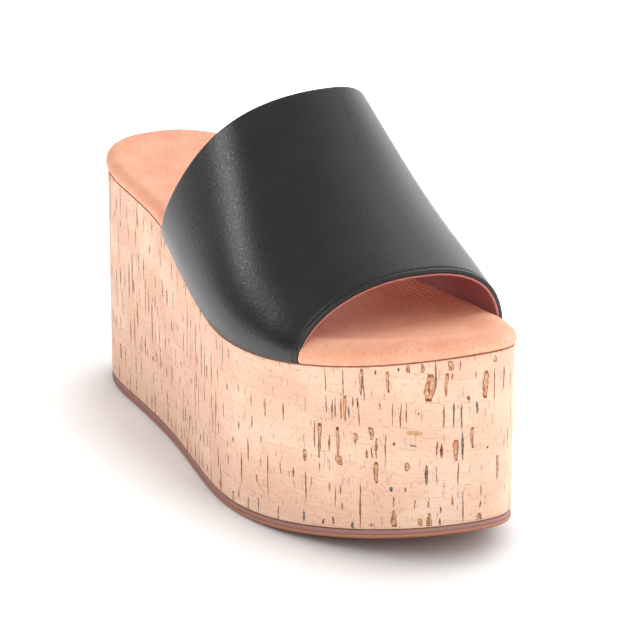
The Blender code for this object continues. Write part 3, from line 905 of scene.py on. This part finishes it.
def shellPiece(name, outer, inner, material):
    # a closed skin between two grids of the same size
    rows, columns = outer.shape[:2]
    count = rows * columns
    faces = gridFaces(rows, columns)
    faces += [tuple(reversed(face)) for face in gridFaces(rows, columns, first=count)]
    border = list(range(columns))
    border += [r * columns + columns - 1 for r in range(1, rows)]
    border += [(rows - 1) * columns + c for c in range(columns - 2, -1, -1)]
    border += [r * columns for r in range(rows - 2, 0, -1)]
    for i, low in enumerate(border):
        high = border[(i + 1) % len(border)]
        faces.append((low, low + count, high + count, high))
    piece = newPiece(name, np.concatenate([outer.reshape(-1, 3), inner.reshape(-1, 3)]), faces, material)
    facesOut(piece)
    return piece


def edgeRows():
    # distances from an open edge, close together where the edge is worked
    return np.array([0, 0.12, 0.3, 0.55, 0.9, 1.2, 1.5, 1.75, 1.95, 2.1, 2.25, 2.45, 2.7, 3.1, 3.8, 5.0]) * mm


def frontProfile(distance):
    # depth of the leather's face near its turned front edge: a full lip, then the stitched groove
    rolled = 0.55 * mm * (1 - np.clip(distance / (0.6 * mm), 0, 1)) ** 2
    lip = 0.22 * mm * np.exp(-(((distance - 1.05 * mm) / (0.62 * mm)) ** 2))
    groove = bandSizes["groove"] * np.exp(-(((distance - bandSizes["lip"]) / (0.30 * mm)) ** 2))
    return rolled - lip + groove


def rearProfile(distance):
    return 0.5 * mm * (1 - np.clip(distance / (0.8 * mm), 0, 1)) ** 2


def buildBand(surface):
    near = edgeRows()
    share = np.linspace(0, 1, bandSizes["along"])[1:-1]
    total = surface.total
    outer, inner = [], []
    for d in near:
        outer.append(surface.row(d, frontProfile(d)))
        inner.append(surface.row(d, bandSizes["leather"] - 0.3 * frontProfile(d)))
    start, end = near[-1], total - near[-1]
    for s in share:
        outer.append(surface.row(start + (end - start) * s))
        inner.append(surface.row(start + (end - start) * s, bandSizes["leather"]))
    for d in near[::-1]:
        outer.append(surface.row(total - d, rearProfile(d)))
        inner.append(surface.row(total - d, bandSizes["leather"] - 0.3 * rearProfile(d)))
    piece = shellPiece("bandLeather", np.array(outer), np.array(inner), makeBandLeather())
    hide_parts("upper")


liningSizes = {
    "underLeather": 0.04 * mm,
    "frontReach": 0.12 * mm,  # past the leather's edges
    "rearReach": 0.35 * mm,
    "frays": 90,  # along the front edge, each up to this many millimetres in or out
    "fray": (-0.12, 0.18),
    "seed": 5,
}


def buildLining(surface):
    top = bandSizes["leather"] + liningSizes["underLeather"]
    low = bandSizes["wall"]
    frays = liningSizes["frays"]
    depths = np.random.default_rng(liningSizes["seed"]).uniform(*liningSizes["fray"], frays + 1)
    places = np.linspace(0, frays, len(surface.turns))
    ragged = np.interp(places, np.arange(frays + 1), depths) * mm
    front = -liningSizes["frontReach"] - np.clip(ragged, -0.05 * mm, 1)
    rear = surface.total + liningSizes["rearReach"]
    shares = np.concatenate([
        [0, 0.004, 0.01, 0.02, 0.04], np.linspace(0.07, 0.93, 56), [0.96, 0.98, 0.99, 1],
    ])
    outer, inner = [], []
    for s in shares:
        outer.append(surface.row(front + (rear - front) * s, top))
        inner.append(surface.row(front + (rear - front) * s, low))
    lining = makeSheepskin("sheepskin lining, rose", sheepLooks["lining"])
    piece = shellPiece("bandLining", np.array(outer), np.array(inner), lining)


stitchLooks = {
    "start": 2.5 * mm,  # from the band's outer foot to the first stitch
    "pitch": 2.5 * mm,
    "length": 1.9 * mm,
    "thread": 0.5 * mm,
    "depth": 0.22 * mm,
}


def buildStitches(surface):
    # lock stitches of black thread lying in the groove along the front edge
    line = surface.row(bandSizes["lip"], stitchLooks["depth"])
    over = surface.row(bandSizes["lip"], stitchLooks["depth"] - 1 * mm)
    steps = np.linalg.norm(np.diff(line, axis=0), axis=1)
    way = np.concatenate([[0], np.cumsum(steps)])
    count = int((way[-1] - 4 * mm) / stitchLooks["pitch"])
    points, faces = [], []
    sides, slices = 8, 7

    def read(row, place):
        return np.array([np.interp(place, way, row[:, i]) for i in range(3)])

    for k in range(count):
        middle = stitchLooks["start"] + k * stitchLooks["pitch"]
        for j in range(slices):
            share = j / (slices - 1)
            place = middle + (share - 0.5) * stitchLooks["length"]
            at = read(line, place)
            ahead = read(line, place + 0.2 * mm) - at
            upWay = read(over, place) - at
            ahead /= np.linalg.norm(ahead)
            upWay /= np.linalg.norm(upWay)
            acrossWay = np.cross(ahead, upWay)
            radius = stitchLooks["thread"] / 2 * max(0.18, math.sin(math.pi * share) ** 0.5)
            sink = 0.18 * mm * (2 * share - 1) ** 2
            for n in range(sides):
                turn = 2 * math.pi * n / sides
                offset = radius * (math.cos(turn) * acrossWay + math.sin(turn) * upWay)
                points.append(at - upWay * sink + offset)
        first = k * slices * sides
        faces += gridFaces(slices, sides, closed=True, first=first)
        faces.append(tuple(range(first + sides - 1, first - 1, -1)))
        last = first + (slices - 1) * sides
        faces.append(tuple(range(last, last + sides)))
    thread = makeTrim("polyester thread, black", "#0e0e0f", "#1d1d1f", 0.5, 0.4 * mm)
    piece = newPiece("bandStitches", np.array(points), faces, thread)
    facesOut(piece)


# The padded insole

insoleSizes = {
    "thick": 8.0 * mm,  # at the toe
    "side": 1.4 * mm,
    "flare": 0.7 * mm,
    "tightEdge": 0.6,  # under the band the rounding is this much smaller
    "dish": 1.0 * mm,
    "rim": 9.0 * mm,
    "across": 120,
    "padding": 9,
}


def besideBand(at, lateral):
    # 1 where the band's foot takes the edge of the cork, 0 where the insole reaches out over it
    side = "lateral" if lateral else "medial"
    edge = 1.2 * mm / soleSizes["length"]
    rear = rearEdge[side] + 2.5 * mm / soleSizes["length"]
    front = frontEdge[side] - 0.4 * mm / soleSizes["length"]
    return smooth(at, rear - edge, rear + edge) * (1 - smooth(at, front - edge, front + edge))


def buildInsole():
    stations = soleSizes["stations"]
    at = shareAt(outline[:, 1])
    onLateral = np.arange(len(outline)) <= stations
    beside = np.where(onLateral, besideBand(at, True), besideBand(at, False))
    inset = beside * (bandSizes["wall"] + soleSizes["gap"] + 0.1 * mm)
    thick = insoleSizes["thick"] * soleCurve["thick"](at)
    edge = insoleSizes["thick"] * soleCurve["edge"](at) * (1 - insoleSizes["tightEdge"] * beside)
    flare = insoleSizes["flare"] * (1 - beside)

    def level(outset, lift):
        return ring(outset - inset, lambda share: seamZ(share) + soleSizes["gap"] + lift)

    rings = [level(-0.4 * mm, 0), level(-0.1 * mm, 0.05 * mm)]
    for insetShare, short in quarter(insoleSizes["padding"]):
        rings.append(level(flare - insetShare * edge, thick - short * (thick - insoleSizes["side"])))
    for share in (0.25, 0.5, 0.75, 1):
        hollow = insoleSizes["dish"] * (0.5 - 0.5 * math.cos(math.pi * share))
        rings.append(level(flare - edge - share * insoleSizes["rim"], thick - hollow))
    count = len(outline)
    points = np.concatenate(rings)
    faces = gridFaces(len(rings), count, closed=True) + capFaces(0, count)

    # the seat inside the last ring, in rows from side to side
    across = insoleSizes["across"]
    lastRing = (len(rings) - 1) * count
    inner = rings[-1]
    rows, extra = [], []
    for i in range(stations + 1):
        left, right = i, (count - i) % count
        if left == right:
            rows.append([lastRing + left] * (across + 1))
            continue
        row = [lastRing + left]
        for k in range(1, across):
            share = k / across
            row.append(len(points) + len(extra))
            extra.append(inner[left] * (1 - share) + inner[right] * share)
        rows.append(row + [lastRing + right])
    for i in range(stations):
        for k in range(across):
            corners = [rows[i][k], rows[i + 1][k], rows[i + 1][k + 1], rows[i][k + 1]]
            faces.append(list(dict.fromkeys(corners)))
    points = np.concatenate([points, np.array(extra)])
    leather = makeSheepskin("sheepskin sock, coral", sheepLooks["sock"], wrinkled=True)
    piece = newPiece("insolePad", points, faces, leather)
    facesOut(piece)
    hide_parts("insole")


def buildSeamLine():
    # glue and dyed leather edge that show as a thin brown line where cork and insole meet
    draw = np.random.default_rng(3)
    count = len(outline)
    ripple = np.interp(outlineArc[:-1], np.linspace(0, perimeter, 240), draw.uniform(0.7, 1.3, 240))
    thick = 0.26 * mm * ripple
    sides = 6
    rings = []
    for n in range(sides):
        turn = 2 * math.pi * n / sides
        outset = -0.10 * mm + thick * math.cos(turn)
        rings.append(ring(outset, lambda share, t=turn: seamZ(share) + 0.08 * mm + thick * math.sin(t)))
    points = np.concatenate(rings)
    faces = []
    for n in range(sides):
        low, high = n * count, (n + 1) % sides * count
        for c in range(count):
            nextColumn = (c + 1) % count
            faces.append((low + c, low + nextColumn, high + nextColumn, high + c))
    brown = makeTrim("dyed leather edge, brown", "#7a4634", "#a0674c", 0.7)
    piece = newPiece("seamLine", points, faces, brown)
    facesOut(piece)


# Camera, floor and light

# the camera as a scratch script fitted it to the sole's outline in the photo
cameraLooks = {
    "azimuth": -28.659,  # degrees: the camera stands in front of the toe, to the outer side
    "elevation": 19.967,
    "lens": 334.64,
    "distance": 2214.98 * mm,
    "aim": (0.0, 0.0, 50.0 * mm),
    "slide": (7.999 * mm, 3.843 * mm),  # to the right and up
}


def placeCamera():
    azimuth = math.radians(cameraLooks["azimuth"])
    elevation = math.radians(cameraLooks["elevation"])
    flat = math.cos(elevation)
    back = Vector((math.sin(azimuth) * flat, -math.cos(azimuth) * flat, math.sin(elevation)))
    right = Vector((math.cos(azimuth), math.sin(azimuth), 0))
    upWay = back.cross(right)
    data = bpy.data.cameras.new("camera")
    data.lens = cameraLooks["lens"]
    data.sensor_width = 36
    data.clip_end = 50
    camera = bpy.data.objects.new("camera", data)
    camera.rotation_mode = "QUATERNION"
    camera.rotation_quaternion = (-back).to_track_quat("-Z", "Y")
    aim = Vector(cameraLooks["aim"]) + Vector((xShift, 0, 0))
    slide = right * cameraLooks["slide"][0] + upWay * cameraLooks["slide"][1]
    camera.location = aim + back * cameraLooks["distance"] + slide
    bpy.context.scene.collection.objects.link(camera)
    bpy.context.scene.camera = camera


lights = {
    # direction to the light, size in metres, power in watts
    "shoulder": {"way": (-0.72, 0.50, 0.48), "size": 0.40, "power": 4.5},
    "frontLeft": {"way": (-0.60, -0.55, 0.58), "size": 1.4, "power": 12},
    "frontRight": {"way": (0.45, -0.70, 0.55), "size": 1.4, "power": 4},
}
studioLooks = {
    "brightWay": (0.85, 0.20, 0.49),  # a wide window there, and the room darkest opposite
    "room": [(0.25, 0.06), (0.40, 0.17), (0.62, 0.17), (0.74, 0.22), (0.84, 0.30), (0.90, 0.46), (1.0, 1.0)],
    "roomStrength": 3.2,
    # strength of the floor's painted glow
    "paintedGlow": 0.95,
    "glowStart": 1.00,  # in shares of the shoe's own reach
    "glowEnd": 2.6,
}


def placeLights():
    for name, look in lights.items():
        data = bpy.data.lights.new(name, "AREA")
        data.shape = "SQUARE"
        data.size = look["size"]
        data.energy = look["power"]
        lamp = bpy.data.objects.new(name, data)
        way = Vector(look["way"]).normalized()
        lamp.location = way * 2.0
        lamp.rotation_mode = "QUATERNION"
        lamp.rotation_quaternion = way.to_track_quat("Z", "Y")
        bpy.context.scene.collection.objects.link(lamp)
    world = bpy.data.worlds.new("studio")
    world.use_nodes = True
    tree = world.node_tree
    way = addNode(tree, "ShaderNodeTexCoord").outputs["Generated"]
    bright = Vector(studioLooks["brightWay"]).normalized()
    turned = addNode(tree, "ShaderNodeVectorMath", {0: way, 1: bright}, operation="DOT_PRODUCT")
    facing = turned.outputs["Value"]
    share = addNode(tree, "ShaderNodeMath", {0: facing, 1: 0.5, 2: 0.5}, operation="MULTIPLY_ADD")
    room = addNode(tree, "ShaderNodeValToRGB", {0: share}, stops=studioLooks["room"])
    feed(tree, tree.nodes["Background"], {"Color": room, "Strength": studioLooks["roomStrength"]})
    bpy.context.scene.world = world
    bpy.context.scene.view_settings.view_transform = "Standard"


def buildFloor():
    # a white table with painted glow: its emission stands in for a lit backdrop and fades to none near the
    # shoe
    made, tree, shader = newMaterial("white paper backdrop with painted glow", {"Roughness": 0.9, "Specular IOR Level": 0.1})
    place = addNode(tree, "ShaderNodeTexCoord").outputs["Object"]
    fibres = addNode(tree, "ShaderNodeTexNoise", {"Vector": place, "Scale": 1 / (30 * mm)})
    paper = addNode(tree, "ShaderNodeValToRGB", {0: fibres}, stops=[(0.3, "#f2f2f3"), (0.7, "#f7f7f7")])
    reach = (2 / soleSizes["ballWidth"], 2 / soleSizes["length"], 0)
    scaled = addNode(tree, "ShaderNodeVectorMath", {0: place, 1: reach}, operation="MULTIPLY")
    away = addNode(tree, "ShaderNodeVectorMath", {0: scaled}, operation="LENGTH").outputs["Value"]
    start, end = studioLooks["glowStart"], studioLooks["glowEnd"]
    share = addNode(tree, "ShaderNodeMath", {
        0: away, 1: 1 / (end - start), 2: -start / (end - start),
    }, operation="MULTIPLY_ADD")
    # painted glow of the floor: none near the shoe, full far from it
    glow = addNode(tree, "ShaderNodeValToRGB", {0: share}, stops=[(0.0, 0.0), (1.0, 1.0)])
    feed(tree, shader, {
        "Base Color": paper, "Emission Color": glow, "Emission Strength": studioLooks["paintedGlow"],
    })
    side = 6.0
    corners = [(-side, -side, 0), (side, -side, 0), (side, side, 0), (-side, side, 0)]
    mesh = bpy.data.meshes.new("floor")
    mesh.from_pydata(corners, [], [(0, 1, 2, 3)])
    mesh.materials.append(made)
    floor = bpy.data.objects.new("floor", mesh)
    bpy.context.scene.collection.objects.link(floor)


placeCamera()
placeLights()
buildFloor()
print("camera, light and floor placed")
buildOutsole()
buildPlatform(makeCork())
buildFlecks()
print("sole built")
buildInsole()
buildSeamLine()
print("insole built")
bandSurface = BandSurface()
buildBand(bandSurface)
buildLining(bandSurface)
buildStitches(bandSurface)
print("band built")
